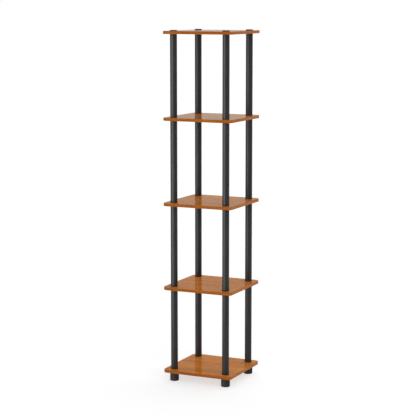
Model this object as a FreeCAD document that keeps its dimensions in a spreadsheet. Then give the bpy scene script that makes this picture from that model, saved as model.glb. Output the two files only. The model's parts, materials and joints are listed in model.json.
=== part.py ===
import FreeCAD, Part
import math
import os
import Sketcher

# Open bookcase: five square boards held apart by four columns of plastic tube.
# The columns turn together: a stud under each tube goes through the board below it
# and into a socket in the tube or foot under that board.
# Front is -Y, up is +Z, and the origin is on the floor, midway between the four feet.

# Driving dimensions in millimetres, apart from the counts and angles
DIMENSIONS = {
    # Shelf boards and the strip glued round their edges
    "shelf_side": 300.0,
    "shelf_thickness": 12.0,
    "shelf_corner_radius": 20.0,
    "band_thickness": 0.8,
    "band_arris_radius": 0.5,
    # Columns of tube, with their axes set in from the edges of the shelves
    "column_inset": 36.0,
    "tube_diameter": 28.0,
    "tube_wall": 1.6,
    "tube_length": 327.0,
    # Plugs pressed into the ends of the tubes
    "plug_rim_thickness": 1.5,
    "plug_depth": 22.0,
    "plug_wall": 1.6,
    "plug_plate": 2.6,
    "plug_clearance": 0.15,
    "grip_rib_clearance": 0.02,
    "grip_rib_angle": 8.0,
    "grip_rib_count": 6,
    "grip_rib_setback": 3.0,
    "plug_web_thickness": 1.4,
    "plug_web_count": 4,
    # Stud and socket, threaded on the real piece
    "stud_diameter": 13.0,
    "stud_bore": 7.0,
    "stud_reach": 16.0,
    "stud_tip": 3.0,
    "stud_lead": 1.2,
    "stud_neck": 10.0,
    "stud_board_clearance": 0.5,
    "stud_socket_clearance": 0.2,
    "socket_spare_depth": 1.5,
    "socket_wall": 2.0,
    "socket_floor": 2.0,
    # Feet, which stand out past the tubes
    "foot_overhang": 4.0,
    "foot_height": 37.0,
    "foot_wall": 2.6,
    "foot_floor": 3.5,
    "foot_edge_radius": 3.0,
    "foot_web_thickness": 1.6,
    "foot_web_setback": 2.0,
    "foot_web_count": 6,
    # Top caps
    "cap_overhang": 0.5,
    "cap_thickness": 3.5,
    "cap_edge_radius": 2.2,
}

SHELF_NAMES = ["bottom", "lower", "middle", "upper", "top"]
TIER_NAMES = ["tier_1", "tier_2", "tier_3", "tier_4"]
COLUMNS = {
    "front_left": (-1, -1),
    "front_right": (1, -1),
    "back_left": (-1, 1),
    "back_right": (1, 1),
}
TOUCHING = 1e-6

doc = FreeCAD.newDocument("tube_post_bookcase")
sheet = doc.addObject("Spreadsheet::Sheet", "dims")
for row, (name, value) in enumerate(DIMENSIONS.items(), start=1):
    sheet.set(f"A{row}", name)
    sheet.set(f"B{row}", str(value))
    sheet.setAlias(f"B{row}", name)
doc.recompute()

# Sizes that several pieces share, as expressions on the sheet
CORE_SIDE = "(dims.shelf_side - 2 * dims.band_thickness)"
CORE_CORNER_RADIUS = "(dims.shelf_corner_radius - dims.band_thickness)"
STUD_HOLE = "(dims.stud_diameter + 2 * dims.stud_board_clearance)"
TUBE_RADIUS = "(dims.tube_diameter / 2)"
TUBE_BORE_RADIUS = f"({TUBE_RADIUS} - dims.tube_wall)"
PLUG_RADIUS = f"({TUBE_BORE_RADIUS} - dims.plug_clearance)"
PLUG_INNER_RADIUS = f"({PLUG_RADIUS} - dims.plug_wall)"
PLUG_MID_WALL = f"({PLUG_RADIUS} - dims.plug_wall / 2)"
PLUG_END = "(dims.plug_rim_thickness + dims.plug_depth)"
STUD_RADIUS = "(dims.stud_diameter / 2)"
STUD_BORE_RADIUS = "(dims.stud_bore / 2)"
STUD_LENGTH = "(dims.shelf_thickness + dims.stud_reach)"
SOCKET_RADIUS = f"({STUD_RADIUS} + dims.stud_socket_clearance)"
SOCKET_OUTER_RADIUS = f"({SOCKET_RADIUS} + dims.socket_wall)"
SOCKET_MID_WALL = f"({SOCKET_RADIUS} + dims.socket_wall / 2)"
SOCKET_DEPTH = "(dims.stud_reach + dims.socket_spare_depth)"
FOOT_RADIUS = f"({TUBE_RADIUS} + dims.foot_overhang)"
CAP_RADIUS = f"({TUBE_RADIUS} + dims.cap_overhang)"
COLUMN_SPACING = "(dims.shelf_side - 2 * dims.column_inset)"
COLUMN_OFFSET = f"({COLUMN_SPACING} / 2)"
TIER_PITCH = "(dims.shelf_thickness + dims.tube_length + 2 * dims.plug_rim_thickness)"


def shelf_underside(level):
    """Height of the underside of a shelf, with level 0 the bottom one."""
    return f"(dims.foot_height + {level} * {TIER_PITCH})"


def shelf_top(level):
    return f"({shelf_underside(level)} + dims.shelf_thickness)"


def size_of(expression):
    return float(sheet.evalExpression(expression))


def new_body(label, x, y, z):
    body = doc.addObject("PartDesign::Body", label)
    body.Label = label
    for axis, expression in zip("xyz", (x, y, z)):
        body.setExpression(f"Placement.Base.{axis}", expression)
    return body


def column_body(label, column, z):
    """A piece that stands on the axis of one column."""
    x_side, y_side = COLUMNS[column]
    return new_body(label, f"{x_side} * {COLUMN_OFFSET}", f"{y_side} * {COLUMN_OFFSET}", z)


def origin_feature(body, role):
    return next(item for item in body.Origin.OriginFeatures if item.Role == role)


def new_sketch(body, name, plane):
    sketch = body.newObject("Sketcher::SketchObject", f"{body.Label}_{name}")
    sketch.AttachmentSupport = [(origin_feature(body, plane), "")]
    sketch.MapMode = "FlatFace"
    return sketch


def pin_point(sketch, geometry, end, x, y):
    """Hold one point of the sketch at a place given by two expressions."""
    for kind, expression, axis in (("DistanceX", x, -2), ("DistanceY", y, -1)):
        if expression == "0":
            sketch.addConstraint(Sketcher.Constraint("PointOnObject", geometry, end, axis))
        else:
            here = size_of(expression)
            index = sketch.addConstraint(Sketcher.Constraint(kind, -1, 1, geometry, end, here))
            sketch.setExpression(f"Constraints[{index}]", expression)


def draw_outline(sketch, corners):
    """Closed outline of straight lines through corners given by expressions."""
    places = [FreeCAD.Vector(size_of(x), size_of(y), 0) for x, y in corners]
    for start, stop in zip(places, places[1:] + places[:1]):
        sketch.addGeometry(Part.LineSegment(start, stop))
    for line in range(len(corners)):
        after = (line + 1) % len(corners)
        sketch.addConstraint(Sketcher.Constraint("Coincident", line, 2, after, 1))
    for line, (x, y) in enumerate(corners):
        pin_point(sketch, line, 1, x, y)


def draw_rectangle(sketch, left, right, low, high):
    draw_outline(sketch, [(left, low), (right, low), (right, high), (left, high)])


def draw_rounded_square(sketch, side, radius):
    """Square outline about the origin: four sides, each run into an arc at its end."""
    inset = f"({side} / 2 - {radius})"
    reach, bend = size_of(inset), size_of(radius)
    half = reach + bend
    upward = FreeCAD.Vector(0, 0, 1)
    for quarter in range(4):
        turned = FreeCAD.Rotation(upward, 90 * quarter)
        start = turned.multVec(FreeCAD.Vector(-reach, -half, 0))
        stop = turned.multVec(FreeCAD.Vector(reach, -half, 0))
        centre = turned.multVec(FreeCAD.Vector(reach, -reach, 0))
        first_angle = math.radians(90 * quarter - 90)
        corner = Part.Circle(centre, upward, bend)
        sketch.addGeometry(Part.LineSegment(start, stop))
        sketch.addGeometry(Part.ArcOfCircle(corner, first_angle, first_angle + math.pi / 2))
    for quarter, (x_side, y_side) in enumerate([(1, -1), (1, 1), (-1, 1), (-1, -1)]):
        line, arc, next_line = 2 * quarter, 2 * quarter + 1, (2 * quarter + 2) % 8
        sketch.addConstraint(Sketcher.Constraint("Tangent", line, 2, arc, 1))
        sketch.addConstraint(Sketcher.Constraint("Tangent", arc, 2, next_line, 1))
        pin_point(sketch, arc, 3, f"{x_side} * {inset}", f"{y_side} * {inset}")
        index = sketch.addConstraint(Sketcher.Constraint("Radius", arc, bend))
        sketch.setExpression(f"Constraints[{index}]", radius)


def draw_circle(sketch, x, y, diameter):
    centre = FreeCAD.Vector(size_of(x), size_of(y), 0)
    upward = FreeCAD.Vector(0, 0, 1)
    circle = sketch.addGeometry(Part.Circle(centre, upward, size_of(diameter) / 2))
    pin_point(sketch, circle, 3, x, y)
    index = sketch.addConstraint(Sketcher.Constraint("Diameter", circle, size_of(diameter)))
    sketch.setExpression(f"Constraints[{index}]", diameter)


def finish_feature(body, feature):
    body.Tip = feature
    feature.recompute(True)
    return feature


def new_feature(body, kind, name):
    return body.newObject(f"PartDesign::{kind}", f"{body.Label}_{name}")


def pad(body, name, sketch, length, both_ways=False):
    feature = new_feature(body, "Pad", name)
    feature.Profile = sketch
    feature.Midplane = both_ways
    feature.setExpression("Length", length)
    return finish_feature(body, feature)


def cut_upward(body, name, sketch):
    """Cut right through the piece, upward from a sketch on its underside."""
    feature = new_feature(body, "Pocket", name)
    feature.Profile = sketch
    feature.Type = "ThroughAll"
    feature.Reversed = True
    return finish_feature(body, feature)


def turn(body, name, sketch, angle="360"):
    """Solid of revolution about the upright axis, centred on the sketch."""
    feature = new_feature(body, "Revolution", name)
    feature.Profile = sketch
    feature.ReferenceAxis = (sketch, ["V_Axis"])
    feature.Midplane = True
    feature.setExpression("Angle", angle)
    return finish_feature(body, feature)


def repeat_around(body, name, feature, count):
    pattern = new_feature(body, "PolarPattern", name)
    pattern.Originals = [feature]
    pattern.Axis = (origin_feature(body, "Z_Axis"), [""])
    pattern.Angle = 360
    pattern.setExpression("Occurrences", count)
    return finish_feature(body, pattern)


def repeat_at_columns(body, name):
    """Copy the whole piece from the front left column to all four."""
    pattern = new_feature(body, "LinearPattern", name)
    pattern.TransformMode = "Whole shape"
    pattern.Direction = (origin_feature(body, "X_Axis"), [""])
    pattern.Direction2 = (origin_feature(body, "Y_Axis"), [""])
    pattern.Occurrences = 2
    pattern.Occurrences2 = 2
    pattern.setExpression("Length", COLUMN_SPACING)
    pattern.setExpression("Length2", COLUMN_SPACING)
    return finish_feature(body, pattern)


def round_edges(body, name, feature, is_chosen, radius):
    """Round every edge that the given test picks out."""
    numbered = enumerate(feature.Shape.Edges, start=1)
    chosen = [f"Edge{number}" for number, edge in numbered if is_chosen(edge)]
    fillet = new_feature(body, "Fillet", name)
    fillet.Base = (feature, chosen)
    fillet.setExpression("Radius", radius)
    return finish_feature(body, fillet)


def lies_flat(edge):
    return edge.BoundBox.ZLength < TOUCHING


def circle_at(height, radius):
    """Test for the circle of this radius about the upright axis at this height."""
    def is_chosen(edge):
        box = edge.BoundBox
        level = abs(box.ZMin - height) < TOUCHING and lies_flat(edge)
        return level and abs(box.XMax - radius) < TOUCHING
    return is_chosen


def make_shelf_board(label, level):
    """Particle board faced with laminate, with a stud hole at each column."""
    body = new_body(label, "0", "0", shelf_underside(level))
    sketch = new_sketch(body, "outline", "XY_Plane")
    draw_rounded_square(sketch, CORE_SIDE, CORE_CORNER_RADIUS)
    for x_side, y_side in COLUMNS.values():
        draw_circle(sketch, f"{x_side} * {COLUMN_OFFSET}", f"{y_side} * {COLUMN_OFFSET}", STUD_HOLE)
    pad(body, "panel", sketch, "dims.shelf_thickness")
    return body


def make_edge_band(label, level):
    """Plastic strip glued round a board, with its outer arrises scraped round."""
    body = new_body(label, "0", "0", shelf_underside(level))
    outside = new_sketch(body, "outside", "XY_Plane")
    draw_rounded_square(outside, "dims.shelf_side", "dims.shelf_corner_radius")
    block = pad(body, "block", outside, "dims.shelf_thickness")
    round_edges(body, "arrises", block, lies_flat, "dims.band_arris_radius")
    inside = new_sketch(body, "inside", "XY_Plane")
    draw_rounded_square(inside, CORE_SIDE, CORE_CORNER_RADIUS)
    cut_upward(body, "ring", inside)
    return body


def make_tube(label, column, tier):
    """Length of extruded tube, standing on the rim of its stud plug."""
    body = column_body(label, column, f"{shelf_top(tier)} + dims.plug_rim_thickness")
    sketch = new_sketch(body, "section", "XY_Plane")
    draw_circle(sketch, "0", "0", "dims.tube_diameter")
    draw_circle(sketch, "0", "0", f"2 * {TUBE_BORE_RADIUS}")
    pad(body, "extrusion", sketch, "dims.tube_length")
    return body


def add_webs(body, inner, outer, low, high, thickness, count):
    """Radial webs that run from the middle of one wall to the middle of the next."""
    sketch = new_sketch(body, "web_outline", "XZ_Plane")
    draw_rectangle(sketch, inner, outer, low, high)
    web = pad(body, "web", sketch, thickness, both_ways=True)
    repeat_around(body, "webs", web, count)


def add_grip_ribs(body, low, high):
    """Ribs along the outside of a plug, which grip the bore of the tube."""
    sketch = new_sketch(body, "grip_outline", "XZ_Plane")
    crest = f"{TUBE_BORE_RADIUS} - dims.grip_rib_clearance"
    draw_rectangle(sketch, PLUG_MID_WALL, crest, low, high)
    rib = turn(body, "grip_rib", sketch, "dims.grip_rib_angle")
    repeat_around(body, "grip_ribs", rib, "dims.grip_rib_count")


def make_stud_plugs(label, tier):
    """Moulded plugs in the lower ends of four tubes, with hollow studs under them."""
    body = column_body(label, "front_left", shelf_top(tier))
    profile = new_sketch(body, "profile", "XZ_Plane")
    draw_outline(profile, [
        (STUD_BORE_RADIUS, "dims.stud_neck"),
        (STUD_RADIUS, "dims.stud_neck"),
        (STUD_RADIUS, "dims.plug_plate"),
        (PLUG_INNER_RADIUS, "dims.plug_plate"),
        (PLUG_INNER_RADIUS, PLUG_END),
        (PLUG_RADIUS, PLUG_END),
        (PLUG_RADIUS, "dims.plug_rim_thickness"),
        (TUBE_RADIUS, "dims.plug_rim_thickness"),
        (TUBE_RADIUS, "0"),
        (STUD_RADIUS, "0"),
        (STUD_RADIUS, f"-{STUD_LENGTH} + dims.stud_lead"),
        (f"{STUD_RADIUS} - dims.stud_lead", f"-{STUD_LENGTH}"),
        ("0", f"-{STUD_LENGTH}"),
        ("0", f"-{STUD_LENGTH} + dims.stud_tip"),
        (STUD_BORE_RADIUS, f"-{STUD_LENGTH} + dims.stud_tip"),
    ])
    turn(body, "moulding", profile)
    neck_mid_wall = f"({STUD_RADIUS} + {STUD_BORE_RADIUS}) / 2"
    add_webs(body, neck_mid_wall, PLUG_MID_WALL, "dims.plug_plate / 2", "dims.stud_neck",
             "dims.plug_web_thickness", "dims.plug_web_count")
    add_grip_ribs(body, "dims.plug_rim_thickness + dims.grip_rib_setback",
                  f"{PLUG_END} - dims.grip_rib_setback")
    repeat_at_columns(body, "all_columns")
    return body


def make_socket_plugs(label, tier):
    """Moulded plugs in the upper ends of four tubes, with a blind socket in each."""
    body = column_body(label, "front_left", shelf_underside(tier + 1))
    profile = new_sketch(body, "profile", "XZ_Plane")
    socket_bottom = f"-({SOCKET_DEPTH} + dims.socket_floor)"
    draw_outline(profile, [
        (SOCKET_RADIUS, "0"),
        (TUBE_RADIUS, "0"),
        (TUBE_RADIUS, "-dims.plug_rim_thickness"),
        (PLUG_RADIUS, "-dims.plug_rim_thickness"),
        (PLUG_RADIUS, f"-{PLUG_END}"),
        (PLUG_INNER_RADIUS, f"-{PLUG_END}"),
        (PLUG_INNER_RADIUS, "-dims.plug_plate"),
        (SOCKET_OUTER_RADIUS, "-dims.plug_plate"),
        (SOCKET_OUTER_RADIUS, socket_bottom),
        ("0", socket_bottom),
        ("0", f"-{SOCKET_DEPTH}"),
        (SOCKET_RADIUS, f"-{SOCKET_DEPTH}"),
    ])
    turn(body, "moulding", profile)
    add_webs(body, SOCKET_MID_WALL, PLUG_MID_WALL, f"-{SOCKET_DEPTH}", "-dims.plug_plate / 2",
             "dims.plug_web_thickness", "dims.plug_web_count")
    add_grip_ribs(body, f"-({PLUG_END} - dims.grip_rib_setback)",
                  "-(dims.plug_rim_thickness + dims.grip_rib_setback)")
    repeat_at_columns(body, "all_columns")
    return body


def make_foot(label, column):
    """Moulded cup, open under the board, with a webbed socket for the stud."""
    body = column_body(label, column, "0")
    profile = new_sketch(body, "profile", "XZ_Plane")
    cup_radius = f"({FOOT_RADIUS} - dims.foot_wall)"
    socket_bottom = f"(dims.foot_height - {SOCKET_DEPTH})"
    draw_outline(profile, [
        ("0", "0"),
        (FOOT_RADIUS, "0"),
        (FOOT_RADIUS, "dims.foot_height"),
        (cup_radius, "dims.foot_height"),
        (cup_radius, "dims.foot_floor"),
        (SOCKET_OUTER_RADIUS, "dims.foot_floor"),
        (SOCKET_OUTER_RADIUS, "dims.foot_height"),
        (SOCKET_RADIUS, "dims.foot_height"),
        (SOCKET_RADIUS, socket_bottom),
        ("0", socket_bottom),
    ])
    cup = turn(body, "cup", profile)
    bottom_edge = circle_at(0, size_of(FOOT_RADIUS))
    round_edges(body, "bottom_edge", cup, bottom_edge, "dims.foot_edge_radius")
    cup_mid_wall = f"({FOOT_RADIUS} - dims.foot_wall / 2)"
    add_webs(body, SOCKET_MID_WALL, cup_mid_wall, "dims.foot_floor / 2",
             "dims.foot_height - dims.foot_web_setback",
             "dims.foot_web_thickness", "dims.foot_web_count")
    return body


def make_top_cap(label, column):
    """Moulded disc with a rounded rim, in one piece with a hollow stud."""
    body = column_body(label, column, shelf_top(len(SHELF_NAMES) - 1))
    profile = new_sketch(body, "profile", "XZ_Plane")
    draw_outline(profile, [
        ("0", "dims.cap_thickness"),
        (CAP_RADIUS, "dims.cap_thickness"),
        (CAP_RADIUS, "0"),
        (STUD_RADIUS, "0"),
        (STUD_RADIUS, f"-{STUD_LENGTH} + dims.stud_lead"),
        (f"{STUD_RADIUS} - dims.stud_lead", f"-{STUD_LENGTH}"),
        (STUD_BORE_RADIUS, f"-{STUD_LENGTH}"),
        (STUD_BORE_RADIUS, "0"),
        ("0", "0"),
    ])
    disc = turn(body, "disc", profile)
    top_edge = circle_at(size_of("dims.cap_thickness"), size_of(CAP_RADIUS))
    round_edges(body, "top_edge", disc, top_edge, "dims.cap_edge_radius")
    return body


sub_parts = []
for column in COLUMNS:
    sub_parts.append(make_foot(f"foot_{column}", column))
for level, name in enumerate(SHELF_NAMES):
    sub_parts.append(make_shelf_board(f"shelf_board_{name}", level))
    sub_parts.append(make_edge_band(f"edge_band_{name}", level))
for tier, name in enumerate(TIER_NAMES):
    sub_parts.append(make_stud_plugs(f"stud_plugs_{name}", tier))
    for column in COLUMNS:
        sub_parts.append(make_tube(f"tube_{name}_{column}", column, tier))
    sub_parts.append(make_socket_plugs(f"socket_plugs_{name}", tier))
for column in COLUMNS:
    sub_parts.append(make_top_cap(f"top_cap_{column}", column))
doc.recompute()

failed = [item.Name for item in doc.Objects if {"Invalid", "Error"} & set(item.State)]
failed += [item.Label for item in sub_parts if item.Shape.isNull() or not item.Shape.isValid()]
if failed:
    raise RuntimeError(f"these did not build: {failed}")

os.makedirs("parts", exist_ok=True)
for item in sub_parts:
    item.Shape.exportStep(f"parts/{item.Label}.step")
    box = item.Shape.BoundBox
    print(f"{item.Label}: {len(item.Shape.Solids)} solids, {item.Shape.Volume:.0f} mm3,"
          f" Z {box.ZMin:.2f} to {box.ZMax:.2f}")
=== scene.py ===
import json
import math

import bmesh
import bpy
from mathutils import Matrix, Vector

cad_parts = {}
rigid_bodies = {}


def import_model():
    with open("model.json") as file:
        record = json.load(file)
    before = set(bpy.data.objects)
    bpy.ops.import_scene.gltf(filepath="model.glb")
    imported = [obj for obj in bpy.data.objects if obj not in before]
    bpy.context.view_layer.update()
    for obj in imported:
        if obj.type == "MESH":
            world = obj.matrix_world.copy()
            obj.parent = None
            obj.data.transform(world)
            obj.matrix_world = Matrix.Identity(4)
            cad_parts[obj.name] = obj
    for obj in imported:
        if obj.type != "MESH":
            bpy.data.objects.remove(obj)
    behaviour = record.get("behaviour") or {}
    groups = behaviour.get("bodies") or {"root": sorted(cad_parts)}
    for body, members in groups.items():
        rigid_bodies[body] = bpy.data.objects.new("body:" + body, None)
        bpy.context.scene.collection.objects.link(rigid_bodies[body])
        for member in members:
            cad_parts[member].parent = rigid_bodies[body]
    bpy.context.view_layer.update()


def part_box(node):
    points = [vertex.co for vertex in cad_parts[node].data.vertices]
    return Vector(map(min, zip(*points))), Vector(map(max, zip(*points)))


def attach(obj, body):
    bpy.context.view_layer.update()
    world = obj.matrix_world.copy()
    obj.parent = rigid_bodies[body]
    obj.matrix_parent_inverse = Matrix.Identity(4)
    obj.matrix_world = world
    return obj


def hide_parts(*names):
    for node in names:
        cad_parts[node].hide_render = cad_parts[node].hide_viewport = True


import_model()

# Feet
# Four black cups moulded in plastic, one under each column, open where they meet the bottom board.
# Six webs brace a threaded socket in the middle, and the lowest stud of the column turns into it.
COLUMNS = ("front_left", "front_right", "back_left", "back_right")
FOOT_WALL = 0.0026
FOOT_FLOOR = 0.0035
FOOT_BOTTOM_ROUND = 0.003
FOOT_TOP_EASE = 0.0004
FOOT_WEB_COUNT = 6
FOOT_WEB_THICKNESS = 0.0016
FOOT_WEB_SETBACK = 0.002
FOOT_BLACK = (0.003, 0.003, 0.0031)
FOOT_ROUGHNESS = 0.7
FOOT_SHEEN = 0.5
FLOW_FINENESS = (90, 90, 60)
SKIN_FINENESS = (1800, 1800, 1800)
SOCKET_BORE = 0.0067
SOCKET_WALL = 0.002
SOCKET_DEPTH = 0.0175
SOCKET_EASE = 0.0004
THREAD_PITCH = 0.003
THREAD_DEPTH = 0.0007
THREAD_STEP = 0.000375
THREAD_SETBACK = 0.0012
THREAD_FLANK_START = 0.75
THREAD_FLANK_RUN = 0.4
MOULD_SIDES = 64
SHARP_ANGLE = math.radians(40)


def thread_groove(height, angle):
    """Depth of the moulded thread at a place on its helix, from 0 on a crest to 1 in a root."""
    turn = (height / THREAD_PITCH - angle / (2 * math.pi)) % 1
    from_root = abs(2 * turn - 1)
    depth = min(max((THREAD_FLANK_START - from_root) / THREAD_FLANK_RUN, 0), 1)
    return depth * depth * (3 - 2 * depth)


def threaded_wall(radius, start, stop, has_tip=False):
    """Corners along a threaded wall. The thread fades in over a turn, and out again except at a tip."""
    count = round(abs(stop - start) / THREAD_STEP)
    wall = []
    for step in range(count + 1):
        height = start + (stop - start) * step / count
        from_end = abs(height - start)
        if not has_tip:
            from_end = min(from_end, abs(height - stop))
        wall.append((radius, height, 0, THREAD_DEPTH * min(from_end / THREAD_PITCH, 1)))
    return wall


def eased(corners, steps=4):
    """Closed outline of radius, height and thread depth, with each corner rounded by its own ease."""
    outline = []
    for index, (radius, height, ease, *thread) in enumerate(corners):
        here = Vector((radius, height))
        if ease == 0:
            outline.append((radius, height, *(thread or [0])))
            continue
        back = (Vector(corners[index - 1][:2]) - here).normalized()
        ahead = (Vector(corners[(index + 1) % len(corners)][:2]) - here).normalized()
        half_angle = back.angle(ahead) / 2
        centre = here + (back + ahead).normalized() * ease / math.sin(half_angle)
        first = here + back * ease / math.tan(half_angle) - centre
        last = here + ahead * ease / math.tan(half_angle) - centre
        for step in range(steps + 1):
            point = centre + first.lerp(last, step / steps).normalized() * ease
            outline.append((point.x, point.y, 0))
    return outline


def turned(outline, base, sides):
    """Solid of an outline turned about the upright axis, standing on the height of its base."""
    solid = bmesh.new()
    rings = []
    for radius, height, thread in outline:
        ring = []
        for side in range(sides if radius > 0 else 1):
            angle = 2 * math.pi * side / sides
            reach = radius - thread * thread_groove(base + height, angle)
            spot = (reach * math.cos(angle), reach * math.sin(angle), base + height)
            ring.append(solid.verts.new(spot))
        rings.append(ring)
    for ring, next_ring in zip(rings, rings[1:] + rings[:1]):
        if len(ring) + len(next_ring) == 2:
            continue
        for side in range(sides):
            turns = ((ring, side), (ring, side + 1), (next_ring, side + 1), (next_ring, side))
            corners = [band[turn % len(band)] for band, turn in turns]
            solid.faces.new(list(dict.fromkeys(corners)))
    bmesh.ops.recalc_face_normals(solid, faces=solid.faces)
    return solid


def radial_plates(count, inner, outer, low, high, thickness):
    """Upright plates set round the axis like spokes."""
    plates = bmesh.new()
    for number in range(count):
        heading = Matrix.Rotation(2 * math.pi * number / count, 4, "Z")
        middle = Matrix.Translation(((inner + outer) / 2, 0, (low + high) / 2))
        size = Matrix.Diagonal((outer - inner, thickness, high - low, 1))
        bmesh.ops.create_cube(plates, size=1, matrix=heading @ middle @ size)
    return plates


def as_mesh(solid):
    mesh = bpy.data.meshes.new("moulding")
    solid.to_mesh(mesh)
    solid.free()
    return mesh


def moulded_in_one(mesh, *additions):
    """Join overlapping solids into one, as they come out of the mould."""
    for addition in additions:
        solids = []
        for part in (mesh, as_mesh(addition)):
            solid = bpy.data.objects.new("solid", part)
            bpy.context.scene.collection.objects.link(solid)
            solids.append(solid)
        join = solids[0].modifiers.new("join", "BOOLEAN")
        join.operation = "UNION"
        join.solver = "EXACT"
        join.object = solids[1]
        view = bpy.context.evaluated_depsgraph_get()
        mesh = bpy.data.meshes.new_from_object(solids[0].evaluated_get(view))
        for solid in solids:
            bpy.data.objects.remove(solid)
    return mesh


def column_axis(node):
    """Where the axis of an upright piece stands on the floor."""
    low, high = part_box(node)
    return Vector(((low.x + high.x) / 2, (low.y + high.y) / 2, 0))


def fit_piece(name, mesh, node, slot, *finishes):
    """Put a finished piece in its place, where it stands for its node."""
    mesh.shade_smooth()
    mesh.set_sharp_from_angle(angle=SHARP_ANGLE)
    for finish in finishes:
        mesh.materials.append(finish)
    piece = bpy.data.objects.new(name, mesh)
    bpy.context.scene.collection.objects.link(piece)
    shading = piece.modifiers.new("even_shading", "WEIGHTED_NORMAL")
    shading.keep_sharp = True
    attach(piece, "root")
    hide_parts(node)


def add_node(tree, kind, inputs, **settings):
    """Add a shading node, with values or links from other nodes for its inputs."""
    made = tree.nodes.new(kind)
    for setting, value in settings.items():
        setattr(made, setting, value)
    for socket, value in inputs.items():
        if isinstance(value, bpy.types.NodeSocket):
            tree.links.new(value, made.inputs[socket])
        else:
            made.inputs[socket].default_value = value
    return made


def new_finish(name, **plain):
    """A material with the values that are the same all over it set on its shader."""
    finish = bpy.data.materials.new(name)
    finish.use_nodes = True
    shader = finish.node_tree.nodes["Principled BSDF"]
    for socket, value in plain.items():
        shader.inputs[socket.replace("_", " ")].default_value = value
    return finish, finish.node_tree, shader


def stretched(tree, scale, start=(0, 0, 0)):
    """Places on the piece, with their own fineness along each axis, in features to the metre."""
    place = add_node(tree, "ShaderNodeTexCoord", {})
    fitted = add_node(tree, "ShaderNodeMapping", {"Vector": place.outputs["Object"], "Scale": scale,
                                                  "Location": start})
    return fitted.outputs["Vector"]


def stretched_noise(tree, scale, detail, start=(0, 0, 0)):
    noise = add_node(tree, "ShaderNodeTexNoise", {"Vector": stretched(tree, scale, start), "Scale": 1,
                                                  "Detail": detail})
    return noise.outputs["Fac"]


def spread(tree, source, low, high, to_low, to_high):
    """Spread a stretch of a texture's values over another range."""
    return add_node(tree, "ShaderNodeMapRange", {"Value": source, "From Min": low, "From Max": high,
                                                 "To Min": to_low, "To Max": to_high}).outputs["Result"]


def shades(tree, source, *stops):
    """Colours for a texture's values, from pairs of a value and a colour."""
    ramp = add_node(tree, "ShaderNodeValToRGB", {"Fac": source})
    elements = ramp.color_ramp.elements
    while len(elements) < len(stops):
        elements.new(0.5)
    for element, (position, colour) in zip(elements, stops):
        element.position = position
        element.color = (*colour, 1)
    return ramp.outputs["Color"]


def toned(colour, factor):
    return tuple(part * factor for part in colour)


def moulded_plastic(name, black, roughness, sheen):
    """Black moulded plastic: faint flow clouding under a fine spark-grained skin."""
    finish, tree, shader = new_finish(name, Specular_IOR_Level=sheen)
    flow = stretched_noise(tree, FLOW_FINENESS, 3)
    grain = stretched_noise(tree, SKIN_FINENESS, 2)
    colour = shades(tree, flow, (0.35, toned(black, 0.75)), (0.65, toned(black, 1.3)))
    tree.links.new(colour, shader.inputs["Base Color"])
    dullness = spread(tree, flow, 0.3, 0.7, roughness - 0.05, roughness + 0.06)
    tree.links.new(dullness, shader.inputs["Roughness"])
    skin = add_node(tree, "ShaderNodeBump", {"Height": grain, "Strength": 0.5, "Distance": 0.00012})
    tree.links.new(skin.outputs["Normal"], shader.inputs["Normal"])
    return finish


def foot_mesh(radius, height):
    cup = radius - FOOT_WALL
    socket = SOCKET_BORE + SOCKET_WALL
    pit = height - SOCKET_DEPTH
    body = turned(eased([
        (0, 0, 0),
        (radius, 0, FOOT_BOTTOM_ROUND),
        (radius, height, FOOT_TOP_EASE),
        (cup, height, FOOT_TOP_EASE),
        (cup, FOOT_FLOOR, SOCKET_EASE),
        (socket, FOOT_FLOOR, SOCKET_EASE),
        (socket, height, SOCKET_EASE),
        (SOCKET_BORE, height, SOCKET_EASE),
        *threaded_wall(SOCKET_BORE, height - THREAD_SETBACK, pit + THREAD_SETBACK),
        (SOCKET_BORE, pit, SOCKET_EASE),
        (0, pit, 0),
    ]), 0, MOULD_SIDES)
    plates = radial_plates(FOOT_WEB_COUNT, SOCKET_BORE + SOCKET_WALL / 2, radius - FOOT_WALL / 2,
                           FOOT_FLOOR / 2, height - FOOT_WEB_SETBACK, FOOT_WEB_THICKNESS)
    return moulded_in_one(as_mesh(body), plates)


foot_black = moulded_plastic("foot_black_moulding", FOOT_BLACK, FOOT_ROUGHNESS, FOOT_SHEEN)
foot_low, foot_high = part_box("foot_front_left")
foot_master = foot_mesh((foot_high.x - foot_low.x) / 2, foot_high.z)
for column in COLUMNS:
    mesh = foot_master.copy()
    mesh.transform(Matrix.Translation(column_axis(f"foot_{column}")))
    fit_piece(f"moulded_foot_{column}", mesh, f"foot_{column}", "foot_plastic", foot_black)

# Shelf boards
# Five square boards of 12 mm particle board, faced with cherry-print laminate, glossy above and matte
# below. Each is cut with round corners and drilled at the columns, where studs clamp it between tubes.
SHELVES = ("bottom", "lower", "middle", "upper", "top")
BOARD_CORNER = 0.0192
BOARD_EASE = 0.00012
STUD_HOLE = 0.007
CORNER_BENDS = 14
HOLE_SIDES = 40
CHERRY_DARK = (0.532, 0.161, 0.0126)
CHERRY_MID = (0.628, 0.205, 0.0200)
CHERRY_LIGHT = (0.712, 0.255, 0.0300)
CHERRY_PORE = (0.266, 0.073, 0.0160)
PRINT_START = (16.3, 2.3, 0)
FIGURE_FINENESS = (2.5, 15, 15)
GROWTH_FINENESS = (1.6, 8, 8)
GROWTH_WANDER = 40
FIBRE_FINENESS = (14, 420, 420)
PORE_FINENESS = (45, 1000, 1000)
LAMINATE_ROUGHNESS = (0.06, 0.10)
BACKING_ROUGHNESS = (0.45, 0.55)
BACKING_SHEEN = 0.15
CHIP_PALE = (0.52, 0.36, 0.20)
CHIP_DARK = (0.24, 0.14, 0.07)
CHIP_FINENESS = (700, 700, 1500)
CHIP_ROUGHNESS = 0.9
CHIP_SHEEN = 0.2


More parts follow.
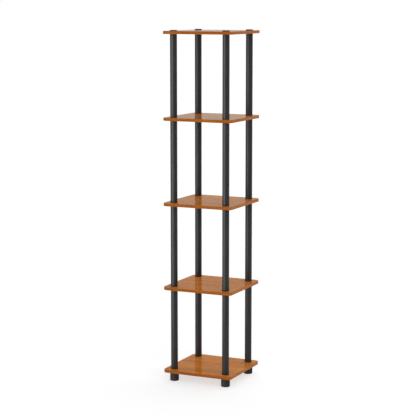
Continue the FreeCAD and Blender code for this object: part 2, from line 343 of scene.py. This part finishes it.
def rounded_square(half, corner):
    """Points round a square with round corners, each with the way it faces."""
    path = []
    for quarter in range(4):
        middle = math.pi / 2 * (quarter + 0.5)
        centre = Vector((math.cos(middle), math.sin(middle))) * (half - corner) * math.sqrt(2)
        for bend in range(CORNER_BENDS + 1):
            angle = math.pi / 2 * (quarter + bend / CORNER_BENDS)
            facing = Vector((math.cos(angle), math.sin(angle)))
            path.append((centre + facing * corner, facing))
    return path


def drilled_hole(centre, radius):
    """Points round a hole, each with the way its wall faces."""
    path = []
    for side in range(HOLE_SIDES):
        angle = -2 * math.pi * side / HOLE_SIDES
        spoke = Vector((math.cos(angle), math.sin(angle)))
        path.append((centre.xy + spoke * radius, -spoke))
    return path


def run_along(solid, path, section):
    """Lines of points where each point of a section, given as out and up, runs along a path."""
    lines = []
    for out, up in section:
        lines.append([solid.verts.new((*(point + facing * out), up)) for point, facing in path])
    return lines


def skin_between(solid, line, next_line, is_loop):
    for start in range(len(line) if is_loop else len(line) - 1):
        stop = (start + 1) % len(line)
        solid.faces.new((line[start], line[stop], next_line[stop], next_line[start]))


def board_mesh(half, low, high, holes):
    """Flat board with eased edges round its outline and its holes."""
    solid = bmesh.new()
    slope = BOARD_EASE * (1 - math.sqrt(0.5))
    section = [(-BOARD_EASE, low), (-slope, low + slope), (0, low + BOARD_EASE),
               (0, high - BOARD_EASE), (-slope, high - slope), (-BOARD_EASE, high)]
    rims = {low: [], high: []}
    for path in [rounded_square(half, BOARD_CORNER), *(drilled_hole(hole, STUD_HOLE) for hole in holes)]:
        lines = run_along(solid, path, section)
        for line, next_line in zip(lines, lines[1:]):
            skin_between(solid, line, next_line, True)
        for level, line in ((low, lines[0]), (high, lines[-1])):
            for point, next_point in zip(line, line[1:] + line[:1]):
                rims[level].append(solid.edges.get((point, next_point)))
    for rim in rims.values():
        bmesh.ops.triangle_fill(solid, edges=rim, use_beauty=True)
    bmesh.ops.recalc_face_normals(solid, faces=solid.faces)
    return as_mesh(solid)


def mixed(tree, share, first, second):
    """A share of the second colour over the first."""
    mix = add_node(tree, "ShaderNodeMix", {"Factor": share}, data_type="RGBA")
    for socket, colour in (("A_Color", first), ("B_Color", second)):
        target = next(item for item in mix.inputs if item.identifier == socket)
        if isinstance(colour, bpy.types.NodeSocket):
            tree.links.new(colour, target)
        else:
            target.default_value = (*colour, 1)
    return next(item for item in mix.outputs if item.identifier == "Result_Color")


def printed_cherry(name, roughness, **plain):
    """Cherry print under a clear coat: broad figure, growth lines, fine fibres and short dark pores."""
    finish, tree, shader = new_finish(name, **plain)
    figure = stretched_noise(tree, FIGURE_FINENESS, 3, PRINT_START)
    wave = add_node(tree, "ShaderNodeTexWave", {
        "Vector": stretched(tree, GROWTH_FINENESS, PRINT_START),
        "Scale": 1,
        "Distortion": GROWTH_WANDER,
        "Detail": 1.5,
        "Detail Scale": 2,
    }, bands_direction="Y")
    growth = wave.outputs["Fac"]
    fibre = stretched_noise(tree, FIBRE_FINENESS, 3)
    pore = stretched_noise(tree, PORE_FINENESS, 1)
    rings = add_node(tree, "ShaderNodeMix", {"Factor": 0.22, "A": figure, "B": growth}).outputs["Result"]
    blend = add_node(tree, "ShaderNodeMix", {"Factor": 0.3, "A": rings, "B": fibre}).outputs["Result"]
    tone = shades(tree, blend, (0.38, CHERRY_DARK), (0.5, CHERRY_MID), (0.62, CHERRY_LIGHT))
    pores = spread(tree, pore, 0.63, 0.72, 0, 0.5)
    tree.links.new(mixed(tree, pores, tone, CHERRY_PORE), shader.inputs["Base Color"])
    tree.links.new(spread(tree, fibre, 0.3, 0.7, *roughness), shader.inputs["Roughness"])
    relief = add_node(tree, "ShaderNodeBump", {"Height": pore, "Strength": 0.04, "Distance": 0.00003})
    tree.links.new(relief.outputs["Normal"], shader.inputs["Normal"])
    return finish


def particle_board():
    """Raw chipboard where the board is sawn and drilled: pale flakes in dark resin."""
    finish, tree, shader = new_finish("raw_particle_board", Roughness=CHIP_ROUGHNESS,
                                      Specular_IOR_Level=CHIP_SHEEN)
    flakes = stretched_noise(tree, CHIP_FINENESS, 4)
    colour = shades(tree, flakes, (0.35, CHIP_DARK), (0.6, CHIP_PALE))
    tree.links.new(colour, shader.inputs["Base Color"])
    rough = add_node(tree, "ShaderNodeBump", {"Height": flakes, "Strength": 0.6, "Distance": 0.0003})
    tree.links.new(rough.outputs["Normal"], shader.inputs["Normal"])
    return finish


cherry_laminate = printed_cherry("cherry_print_laminate", LAMINATE_ROUGHNESS)
cherry_backing = printed_cherry("cherry_print_backing", BACKING_ROUGHNESS,
                                Specular_IOR_Level=BACKING_SHEEN)
raw_board = particle_board()
axes = [column_axis(f"foot_{column}") for column in COLUMNS]
for shelf in SHELVES:
    node = f"shelf_board_{shelf}"
    low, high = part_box(node)
    mesh = board_mesh(high.x, low.z, high.z, axes)
    fit_piece(f"laminate_board_{shelf}", mesh, node, "cherry_laminate",
              cherry_laminate, raw_board, cherry_backing)
    for face in mesh.polygons:
        face.material_index = 1 - round(face.normal.z)

# Edge bands
# A thin cherry-coloured plastic strip glued round the edge of each board, bent round the corners.
# Its two ends meet in a butt seam at the middle of the back, and its arrises are scraped round.
BAND_THICKNESS = 0.0008
BAND_CORNER = 0.020
BAND_ARRIS = 0.0005
BAND_BACK_EASE = 0.00012
BAND_SEAM = 0.00015
BAND_DARK = (0.260, 0.060, 0.0085)
BAND_MID = (0.370, 0.110, 0.0132)
BAND_LIGHT = (0.424, 0.138, 0.0195)
BAND_WORN = (0.500, 0.200, 0.070)
BAND_FIGURE_FINENESS = (12, 12, 260)
BAND_SPECK_FINENESS = (160, 160, 1400)
BAND_ROUGHNESS = (0.30, 0.40)
BAND_SHEEN = 0.08


def band_mesh(half, low, high):
    """Strip with a rounded section, run round the board from one side of the seam to the other."""
    solid = bmesh.new()
    section = eased([
        (-BAND_THICKNESS, low, BAND_BACK_EASE),
        (0, low, BAND_ARRIS),
        (0, high, BAND_ARRIS),
        (-BAND_THICKNESS, high, BAND_BACK_EASE),
    ])
    corners = rounded_square(half, BAND_CORNER)
    quarter = len(corners) // 4
    backward = Vector((0, 1))
    path = [(Vector((-BAND_SEAM / 2, half)), backward), *corners[quarter:], *corners[:quarter],
            (Vector((BAND_SEAM / 2, half)), backward)]
    lines = run_along(solid, path, [(out, up) for out, up, _ in section])
    for line, next_line in zip(lines, lines[1:] + lines[:1]):
        skin_between(solid, line, next_line, False)
    solid.faces.new([line[0] for line in lines])
    solid.faces.new([line[-1] for line in lines])
    bmesh.ops.recalc_face_normals(solid, faces=solid.faces)
    return as_mesh(solid)


def cherry_band():
    """Band print with a plain fine grain along the strip, worn paler on its arrises."""
    finish, tree, shader = new_finish("cherry_edge_strip", Specular_IOR_Level=BAND_SHEEN)
    figure = stretched_noise(tree, BAND_FIGURE_FINENESS, 3)
    speck = stretched_noise(tree, BAND_SPECK_FINENESS, 2)
    blend = add_node(tree, "ShaderNodeMix", {"Factor": 0.35, "A": figure, "B": speck})
    tone = shades(tree, blend.outputs["Result"], (0.32, BAND_DARK), (0.55, BAND_MID), (0.72, BAND_LIGHT))
    facing = add_node(tree, "ShaderNodeNewGeometry", {})
    upright = add_node(tree, "ShaderNodeSeparateXYZ", {"Vector": facing.outputs["Normal"]})
    tilt = add_node(tree, "ShaderNodeMath", {0: upright.outputs["Z"]}, operation="ABSOLUTE")
    arris = spread(tree, tilt.outputs["Value"], 0.15, 0.8, 0, 1)
    rubbed = add_node(tree, "ShaderNodeMath", {0: arris, 1: spread(tree, speck, 0.4, 0.7, 0, 0.5)},
                      operation="MULTIPLY")
    tree.links.new(mixed(tree, rubbed.outputs["Value"], tone, BAND_WORN), shader.inputs["Base Color"])
    tree.links.new(spread(tree, speck, 0.3, 0.7, *BAND_ROUGHNESS), shader.inputs["Roughness"])
    relief = add_node(tree, "ShaderNodeBump", {"Height": speck, "Strength": 0.05, "Distance": 0.00004})
    tree.links.new(relief.outputs["Normal"], shader.inputs["Normal"])
    return finish


band_finish = cherry_band()
for shelf in SHELVES:
    node = f"edge_band_{shelf}"
    low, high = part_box(node)
    mesh = band_mesh(high.x, low.z, high.z)
    fit_piece(f"edge_strip_{shelf}", mesh, node, "cherry_edge_band", band_finish)

# Stud plugs
# Black plugs moulded in plastic, pressed into the lower ends of the tubes, where ribs grip the bore.
# The hollow threaded stud under each goes through the board below and into the next socket down.
TIERS = ("tier_1", "tier_2", "tier_3", "tier_4")
TUBE_WALL = 0.0016
PLUG_RIM = 0.0015
PLUG_END = 0.0235
PLUG_CLEARANCE = 0.00015
PLUG_WALL = 0.0016
PLUG_PLATE = 0.0026
PLUG_EASE = 0.0002
PLUG_RIM_EASE = 0.00035
PLUG_WEB_COUNT = 4
PLUG_WEB_THICKNESS = 0.0014
PLUG_WEB_SETBACK = 0.0008
PLUG_BLACK = (0.020, 0.020, 0.0205)
PLUG_ROUGHNESS = 0.45
PLASTIC_SHEEN = 0.25
RIB_COUNT = 6
RIB_THICKNESS = 0.0017
RIB_CLEARANCE = 0.00005
RIB_SETBACK = 0.003
STUD_RADIUS = 0.0065
STUD_BORE = 0.0035
STUD_REACH = 0.016
STUD_TIP = 0.003
STUD_LEAD = 0.0012
STUD_NECK = 0.010


def grip_ribs(bore, low, high):
    """Ribs along the outside of a plug."""
    return radial_plates(RIB_COUNT, bore - PLUG_CLEARANCE - PLUG_WALL / 2, bore - RIB_CLEARANCE,
                         low, high, RIB_THICKNESS)


def at_columns(mesh, rise):
    """Four copies of a moulding in one mesh, one on the axis of each column, raised to its tier."""
    group = bmesh.new()
    for axis in axes:
        copy = mesh.copy()
        copy.transform(Matrix.Translation(axis + Vector((0, 0, rise))))
        group.from_mesh(copy)
        bpy.data.meshes.remove(copy)
    return as_mesh(group)


def stud_plug_mesh(tube_radius, base, board):
    """Plug above its base height, with the stud reaching down through a board."""
    bore = tube_radius - TUBE_WALL
    plug = bore - PLUG_CLEARANCE
    inner = plug - PLUG_WALL
    tip = -(board + STUD_REACH)
    body = turned(eased([
        (STUD_BORE, STUD_NECK, PLUG_EASE),
        (STUD_RADIUS, STUD_NECK, PLUG_EASE),
        (STUD_RADIUS, PLUG_PLATE, PLUG_EASE),
        (inner, PLUG_PLATE, PLUG_EASE),
        (inner, PLUG_END, PLUG_EASE),
        (plug, PLUG_END, PLUG_EASE),
        (plug, PLUG_RIM, PLUG_EASE),
        (tube_radius, PLUG_RIM, PLUG_RIM_EASE),
        (tube_radius, 0, PLUG_RIM_EASE),
        (STUD_RADIUS, 0, PLUG_EASE),
        *threaded_wall(STUD_RADIUS, -board, tip + STUD_LEAD, has_tip=True),
        (STUD_RADIUS - STUD_LEAD, tip, PLUG_EASE),
        (0, tip, 0),
        (0, tip + STUD_TIP, 0),
        (STUD_BORE, tip + STUD_TIP, PLUG_EASE),
    ]), base, MOULD_SIDES)
    webs = radial_plates(PLUG_WEB_COUNT, (STUD_BORE + STUD_RADIUS) / 2, plug - PLUG_WALL / 2,
                         base + PLUG_PLATE / 2, base + STUD_NECK - PLUG_WEB_SETBACK, PLUG_WEB_THICKNESS)
    ribs = grip_ribs(bore, base + PLUG_RIM + RIB_SETBACK, base + PLUG_END - RIB_SETBACK)
    return moulded_in_one(as_mesh(body), webs, ribs)


plug_black = moulded_plastic("plug_black_moulding", PLUG_BLACK, PLUG_ROUGHNESS, PLASTIC_SHEEN)
tube_low, tube_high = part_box("tube_tier_1_front_left")
tube_radius = (tube_high.x - tube_low.x) / 2
board_low, board_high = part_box("shelf_board_bottom")
board_thickness = board_high.z - board_low.z
stud_plug = stud_plug_mesh(tube_radius, board_high.z, board_thickness)
for tier in TIERS:
    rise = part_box(f"tube_{tier}_front_left")[0].z - tube_low.z
    mesh = at_columns(stud_plug, rise)
    fit_piece(f"stud_mouldings_{tier}", mesh, f"stud_plugs_{tier}", "plug_plastic", plug_black)

# Tubes
# Sixteen lengths of charcoal plastic tube, extruded and cut square, four to a column.
# Each stands on the rim of its stud plug and carries the rim of its socket plug.
TUBE_SIDES = 96
TUBE_OUTER_EASE = 0.0003
TUBE_INNER_EASE = 0.0002
TUBE_CHARCOAL = (0.014, 0.014, 0.0143)
TUBE_ROUGHNESS = (0.36, 0.48)
DIE_LINE_FINENESS = (900, 900, 3)
CLOUD_FINENESS = (70, 70, 14)


def tube_mesh(radius, low, high):
    bore = radius - TUBE_WALL
    return as_mesh(turned(eased([
        (bore, 0, TUBE_INNER_EASE),
        (radius, 0, TUBE_OUTER_EASE),
        (radius, high - low, TUBE_OUTER_EASE),
        (bore, high - low, TUBE_INNER_EASE),
    ]), low, TUBE_SIDES))


def extruded_charcoal():
    """Satin charcoal tube, with the faint lengthwise lines that the extrusion die leaves."""
    finish, tree, shader = new_finish("charcoal_extruded_tube", Specular_IOR_Level=PLASTIC_SHEEN)
    die_lines = stretched_noise(tree, DIE_LINE_FINENESS, 3)
    cloud = stretched_noise(tree, CLOUD_FINENESS, 3)
    mix = add_node(tree, "ShaderNodeMix", {"Factor": 0.4, "A": cloud, "B": die_lines})
    blend = mix.outputs["Result"]
    colour = shades(tree, blend, (0.38, toned(TUBE_CHARCOAL, 0.7)), (0.62, toned(TUBE_CHARCOAL, 1.3)))
    tree.links.new(colour, shader.inputs["Base Color"])
    tree.links.new(spread(tree, blend, 0.35, 0.65, *TUBE_ROUGHNESS), shader.inputs["Roughness"])
    lines = add_node(tree, "ShaderNodeBump", {"Height": die_lines, "Strength": 0.2, "Distance": 0.00006})
    tree.links.new(lines.outputs["Normal"], shader.inputs["Normal"])
    return finish


tube_finish = extruded_charcoal()
for tier in TIERS:
    for column in COLUMNS:
        node = f"tube_{tier}_{column}"
        low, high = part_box(node)
        mesh = tube_mesh((high.x - low.x) / 2, low.z, high.z)
        mesh.transform(Matrix.Translation(column_axis(node)))
        fit_piece(f"extruded_{node}", mesh, node, "tube_plastic", tube_finish)

# Socket plugs
# Black plugs moulded in plastic, pressed into the upper ends of the tubes, rims against the boards.
# Webs brace a blind threaded socket in each, which takes the stud that comes down through the board.
SOCKET_FLOOR = 0.002


def socket_plug_mesh(tube_radius, base):
    """Plug that hangs below its base height, with its socket open at the top."""
    bore = tube_radius - TUBE_WALL
    plug = bore - PLUG_CLEARANCE
    inner = plug - PLUG_WALL
    socket = SOCKET_BORE + SOCKET_WALL
    bottom = -(SOCKET_DEPTH + SOCKET_FLOOR)
    body = turned(eased([
        (SOCKET_BORE, 0, SOCKET_EASE),
        (tube_radius, 0, PLUG_RIM_EASE),
        (tube_radius, -PLUG_RIM, PLUG_RIM_EASE),
        (plug, -PLUG_RIM, PLUG_EASE),
        (plug, -PLUG_END, PLUG_EASE),
        (inner, -PLUG_END, PLUG_EASE),
        (inner, -PLUG_PLATE, PLUG_EASE),
        (socket, -PLUG_PLATE, PLUG_EASE),
        (socket, bottom, PLUG_EASE),
        (0, bottom, 0),
        (0, -SOCKET_DEPTH, 0),
        (SOCKET_BORE, -SOCKET_DEPTH, SOCKET_EASE),
        *threaded_wall(SOCKET_BORE, -SOCKET_DEPTH + THREAD_SETBACK, -THREAD_SETBACK),
    ]), base, MOULD_SIDES)
    webs = radial_plates(PLUG_WEB_COUNT, SOCKET_BORE + SOCKET_WALL / 2, plug - PLUG_WALL / 2,
                         base - SOCKET_DEPTH, base - PLUG_PLATE / 2, PLUG_WEB_THICKNESS)
    ribs = grip_ribs(bore, base - PLUG_END + RIB_SETBACK, base - PLUG_RIM - RIB_SETBACK)
    return moulded_in_one(as_mesh(body), webs, ribs)


socket_plug = socket_plug_mesh(tube_radius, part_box("shelf_board_lower")[0].z)
for tier in TIERS:
    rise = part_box(f"tube_{tier}_front_left")[0].z - tube_low.z
    mesh = at_columns(socket_plug, rise)
    fit_piece(f"socket_mouldings_{tier}", mesh, f"socket_plugs_{tier}", "plug_plastic", plug_black)

# Top caps
# Four black plastic discs with rounded rims, moulded in one with a hollow threaded stud.
# Each closes the top of a column, its stud turned down through the top board.
CAP_RIM_ROUND = 0.0022
CAP_UNDER_EASE = 0.0002
CAP_BLACK = (0.030, 0.030, 0.0305)
CAP_ROUGHNESS = 0.42


def cap_mesh(radius, base, thickness, board):
    tip = -(board + STUD_REACH)
    return as_mesh(turned(eased([
        (0, thickness, 0),
        (radius, thickness, CAP_RIM_ROUND),
        (radius, 0, CAP_UNDER_EASE),
        (STUD_RADIUS, 0, PLUG_EASE),
        *threaded_wall(STUD_RADIUS, -board, tip + STUD_LEAD, has_tip=True),
        (STUD_RADIUS - STUD_LEAD, tip, PLUG_EASE),
        (STUD_BORE, tip, PLUG_EASE),
        (STUD_BORE, 0, PLUG_EASE),
        (0, 0, 0),
    ]), base, MOULD_SIDES))


cap_black = moulded_plastic("cap_black_moulding", CAP_BLACK, CAP_ROUGHNESS, PLASTIC_SHEEN)
for column in COLUMNS:
    node = f"top_cap_{column}"
    low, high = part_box(node)
    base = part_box("shelf_board_top")[1].z
    mesh = cap_mesh((high.x - low.x) / 2, base, high.z - base, board_thickness)
    mesh.transform(Matrix.Translation(column_axis(node)))
    fit_piece(f"moulded_cap_{column}", mesh, node, "cap_plastic", cap_black)

# Floor
# A plain white studio floor that runs out of sight on every side.
# It looks white to the eye and keeps the soft shadow under the bottom board.
FLOOR_HALF = 60
FLOOR_WHITE = (0.8, 0.8, 0.8, 1)
FLOOR_SHADOW_WHITE = (0.376, 0.386, 0.391, 1)
FLOOR_GLOW = 0.65


def seen_directly(tree):
    """One for rays from the camera and for reflected or refracted ones, and nothing for the rest."""
    path = add_node(tree, "ShaderNodeLightPath", {})
    seen = path.outputs["Is Camera Ray"]
    for ray in ("Is Glossy Ray", "Is Transmission Ray"):
        either = add_node(tree, "ShaderNodeMath", {0: seen, 1: path.outputs[ray]}, operation="MAXIMUM")
        seen = either.outputs["Value"]
    return seen


def studio_white():
    """White to the light that bounces off it; to the eye, a white glow with the shadow left in it."""
    finish = bpy.data.materials.new("studio_floor_white")
    finish.use_nodes = True
    tree = finish.node_tree
    tree.nodes.clear()
    bounce = add_node(tree, "ShaderNodeBsdfDiffuse", {"Color": FLOOR_WHITE})
    shadow = add_node(tree, "ShaderNodeBsdfDiffuse", {"Color": FLOOR_SHADOW_WHITE})
    glow = add_node(tree, "ShaderNodeEmission", {"Strength": FLOOR_GLOW})
    look = add_node(tree, "ShaderNodeAddShader", {0: shadow.outputs["BSDF"],
                                                  1: glow.outputs["Emission"]})
    floor = add_node(tree, "ShaderNodeMixShader", {0: seen_directly(tree), 1: bounce.outputs["BSDF"],
                                                   2: look.outputs["Shader"]})
    add_node(tree, "ShaderNodeOutputMaterial", {"Surface": floor.outputs["Shader"]})
    return finish


floor_plane = bmesh.new()
bmesh.ops.create_grid(floor_plane, x_segments=1, y_segments=1, size=FLOOR_HALF)
floor = bpy.data.objects.new("studio_floor", as_mesh(floor_plane))
bpy.context.scene.collection.objects.link(floor)
floor.data.materials.append(studio_white())

# Studio light
# Soft lamps light the bookcase from the front, the left, behind and above. A tall softbox in front on
# the left gives only the gleam on the tubes and feet. The walls fade from white at the horizon to grey.
ROOM_FILL = 0.01
WALL_SHADES = {
    0: (1, 1, 1),
    1.1: (0.49, 0.5, 0.49),
    4.6: (0.455, 0.426, 0.374),
    8: (0.362, 0.34, 0.289),
    14.5: (0.27, 0.258, 0.215),
}
SOFTBOX = {"round": -25, "away": 1.2, "clear": 0.02, "width": 1.0, "height": 2.0, "level": 5.3}
LAMP_AWAY = 3
LAMPS = {
    "front_lamp": {"round": 45, "above": 15, "spread": 60, "level": 0.77, "mirrored": False},
    "left_lamp": {"round": -55, "above": 5, "spread": 40, "level": 0.26, "mirrored": False},
    "back_lamp": {"round": 180, "above": 45, "spread": 80, "level": 0.57, "mirrored": False},
    "overhead_lamp": {"round": -10, "above": 84, "spread": 100, "level": 0.36, "mirrored": True},
}


def from_centre(around, above):
    """The way out from the bookcase to a lamp, by degrees round from the front and up."""
    around = math.radians(around)
    above = math.radians(above)
    out = math.cos(above)
    return Vector((math.sin(around) * out, -math.cos(around) * out, math.sin(above)))


def hang_lamp(data, toward, place):
    """Put a lamp in its place, with its back turned the way out from the bookcase."""
    light = bpy.data.objects.new(data.name, data)
    light.location = place
    light.rotation_euler = toward.to_track_quat("Z", "Y").to_euler()
    bpy.context.scene.collection.objects.link(light)
    return light


for name, lamp in LAMPS.items():
    data = bpy.data.lights.new(name, "SUN")
    data.angle = math.radians(lamp["spread"])
    data.energy = math.pi * lamp["level"]
    toward = from_centre(lamp["round"], lamp["above"])
    light = hang_lamp(data, toward, toward * LAMP_AWAY)
    light.visible_glossy = lamp["mirrored"]

data = bpy.data.lights.new("left_softbox", "AREA")
data.shape = "RECTANGLE"
data.size = SOFTBOX["width"]
data.size_y = SOFTBOX["height"]
data.energy = math.pi * SOFTBOX["width"] * SOFTBOX["height"] * SOFTBOX["level"]
toward = from_centre(SOFTBOX["round"], 0)
place = toward * SOFTBOX["away"]
place.z = SOFTBOX["clear"] + SOFTBOX["height"] / 2
softbox = hang_lamp(data, toward, place)
softbox.visible_camera = False
softbox.visible_diffuse = False
gleaming = bpy.data.collections.new("gleaming_plastic")
for piece in bpy.context.scene.objects:
    if piece.name.startswith(("extruded_tube_", "moulded_foot_")):
        gleaming.objects.link(piece)
softbox.light_linking.receiver_collection = gleaming

room = bpy.data.worlds.new("studio_room")
bpy.context.scene.world = room
room.use_nodes = True
tree = room.node_tree
room_level = spread(tree, seen_directly(tree), 0, 1, ROOM_FILL, 1)
backdrop = tree.nodes["Background"]
heading = add_node(tree, "ShaderNodeTexCoord", {})
upward = add_node(tree, "ShaderNodeSeparateXYZ", {"Vector": heading.outputs["Generated"]})
stops = [(math.sin(math.radians(above)), shade) for above, shade in WALL_SHADES.items()]
tree.links.new(shades(tree, upward.outputs["Z"], *stops), backdrop.inputs["Color"])
tree.links.new(room_level, backdrop.inputs["Strength"])
bpy.context.scene.view_settings.view_transform = "Standard"

# Camera
# A long lens from the front right, a little above the top shelf.
# It is tipped down to the middle of the bookcase, with no shift.
CAMERA_AIM = Vector((-0.0132, -0.0073, 0.7027))
CAMERA_PLACE = Vector((2.4327, -5.2524, 1.5400))
CAMERA_LENS = 124.81
SENSOR_WIDTH = 36

lens = bpy.data.cameras.new("studio_camera")
lens.sensor_width = SENSOR_WIDTH
lens.lens = CAMERA_LENS
camera = bpy.data.objects.new("studio_camera", lens)
camera.location = CAMERA_PLACE
camera.rotation_euler = (CAMERA_AIM - CAMERA_PLACE).to_track_quat("-Z", "Y").to_euler()
bpy.context.scene.collection.objects.link(camera)
bpy.context.scene.camera = camera
